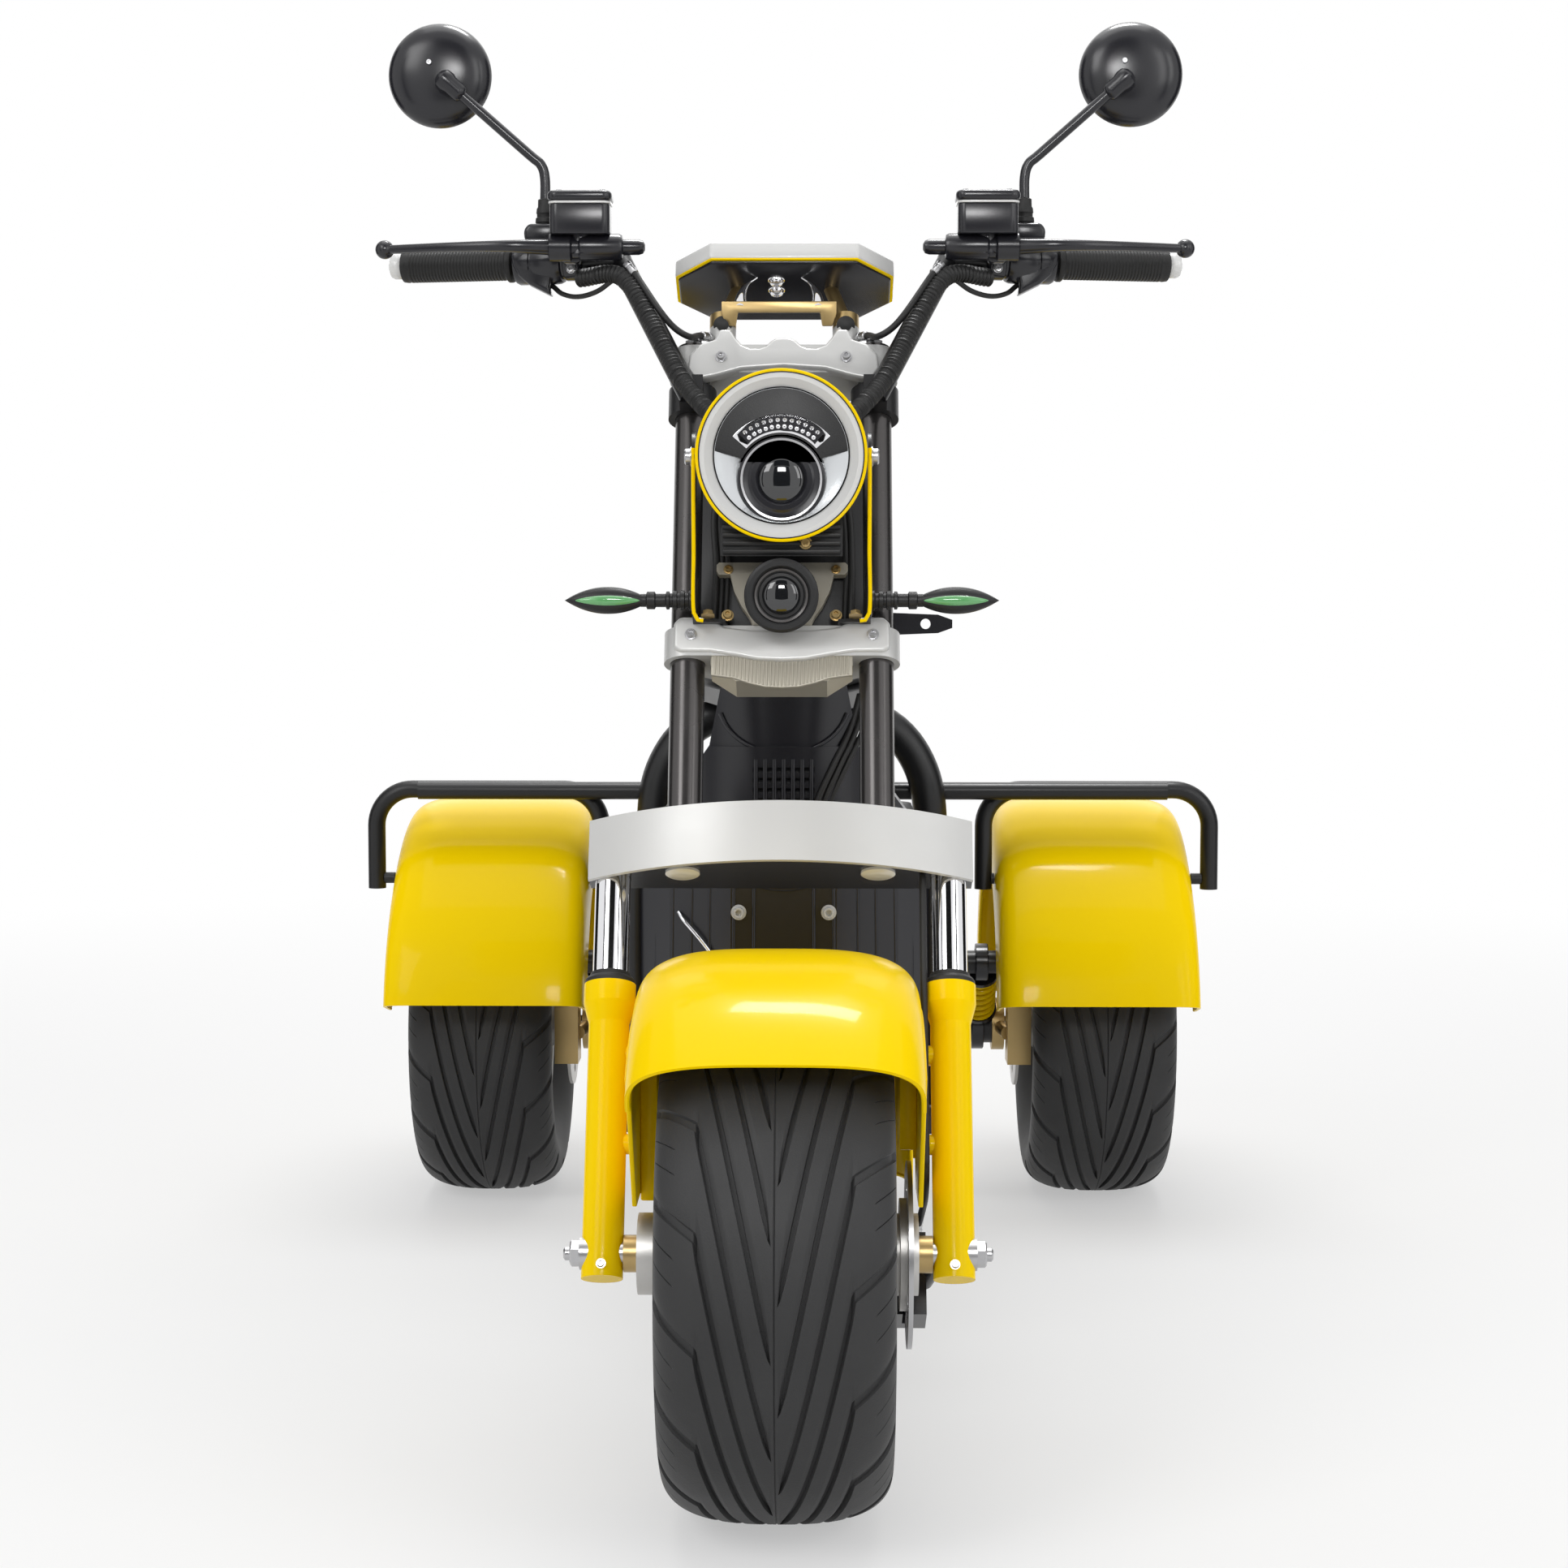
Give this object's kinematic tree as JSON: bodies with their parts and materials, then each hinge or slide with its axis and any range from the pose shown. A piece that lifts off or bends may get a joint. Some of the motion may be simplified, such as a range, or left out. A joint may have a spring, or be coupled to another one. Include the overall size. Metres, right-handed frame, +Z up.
{
  "type": "electric trike",
  "caption": "Upright electric trike with a wide front fork, fat tyres, boxed rear fenders under tubular guard rails, round headlamp, step-through deck and a bench seat on the battery box.",
  "frame": {"origin": "on the floor, under the middle of the overall length and width", "axes": "+Z up, the trike faces -Y, +X is the rider's left"},
  "size_m": [1.068, 1.8229, 1.348],
  "materials": {
    "frame_black": "satin black powder coat",
    "yellow_paint": "gloss yellow paint",
    "silver_cast": "satin silver-white paint",
    "chrome": "polished hard chrome",
    "steel": "machined steel",
    "aluminium": "cast aluminium",
    "tube_grey": "dark grey metallic",
    "black_plastic": "moulded black plastic",
    "gloss_black": "gloss black plastic",
    "tyre": "matt tyre rubber",
    "grip_rubber": "soft rubber",
    "seat_cover": "black synthetic leather",
    "lamp_lens": "clear lamp unit",
    "red_lens": "red lens",
    "zinc": "yellow zinc plate",
    "white_plastic": "pale gloss plastic"
  },
  "bodies": {
    "chassis": {"main_frame": "frame_black", "rear_hoop": "frame_black", "front_fairing": "black_plastic", "leg_shield": "black_plastic", "floor_deck": "black_plastic", "battery_box": "black_plastic", "seat_base": "black_plastic", "seat": "seat_cover", "tail_lamp": "red_lens", "parking_lever": "gloss_black", "rear_axle": "frame_black", "drive_motor": "aluminium", "swing_arms": "frame_black", "rear_shocks": "yellow_paint", "rear_fender_left": "yellow_paint", "rear_fender_right": "yellow_paint", "guard_rails": "frame_black", "rear_calipers": "zinc"},
    "steering": {"lower_clamp": "silver_cast", "top_clamp": "silver_cast", "upper_tubes": "tube_grey", "fork_crown": "gloss_black", "crown_cover": "silver_cast", "stanchions": "chrome", "fork_lowers": "yellow_paint", "front_axle": "steel", "front_fender": "yellow_paint", "front_caliper": "gloss_black", "lamp_bracket": "silver_cast", "lamp_plates": "frame_black", "headlamp_bucket": "black_plastic", "headlamp_rim": "white_plastic", "headlamp_insert": "lamp_lens", "lower_lamp": "gloss_black", "front_indicators": "black_plastic", "handlebars": "frame_black", "grips": "grip_rubber", "brake_controls": "gloss_black", "brake_levers": "gloss_black", "mirrors": "gloss_black", "dash": "white_plastic", "dash_bracket": "zinc", "wiring_looms": "grip_rubber", "brake_hoses": "grip_rubber"},
    "front_wheel": {"front_tyre": "tyre", "front_rim": "aluminium", "front_disc": "steel"},
    "rear_wheel_left": {"rear_tyre_left": "tyre", "rear_rim_left": "aluminium"},
    "rear_wheel_right": {"rear_tyre_right": "tyre", "rear_rim_right": "aluminium"}
  },
  "joints": [
    {"name": "steering_turn", "type": "hinge", "parent": "chassis", "child": "steering", "pos_m": [0, -0.6457, 0.206], "axis": [0, 0.4226, 0.9063], "range_deg": [-38, 38]},
    {"name": "front_wheel_spin", "type": "hinge", "parent": "steering", "child": "front_wheel", "pos_m": [0, -0.6865, 0.225], "axis": [1, 0, 0], "continuous": true},
    {"name": "rear_left_spin", "type": "hinge", "parent": "chassis", "child": "rear_wheel_left", "pos_m": [0.392, 0.6135, 0.217], "axis": [1, 0, 0], "continuous": true},
    {"name": "rear_right_spin", "type": "hinge", "parent": "chassis", "child": "rear_wheel_right", "pos_m": [-0.392, 0.6135, 0.217], "axis": [1, 0, 0], "continuous": true}
  ]
}
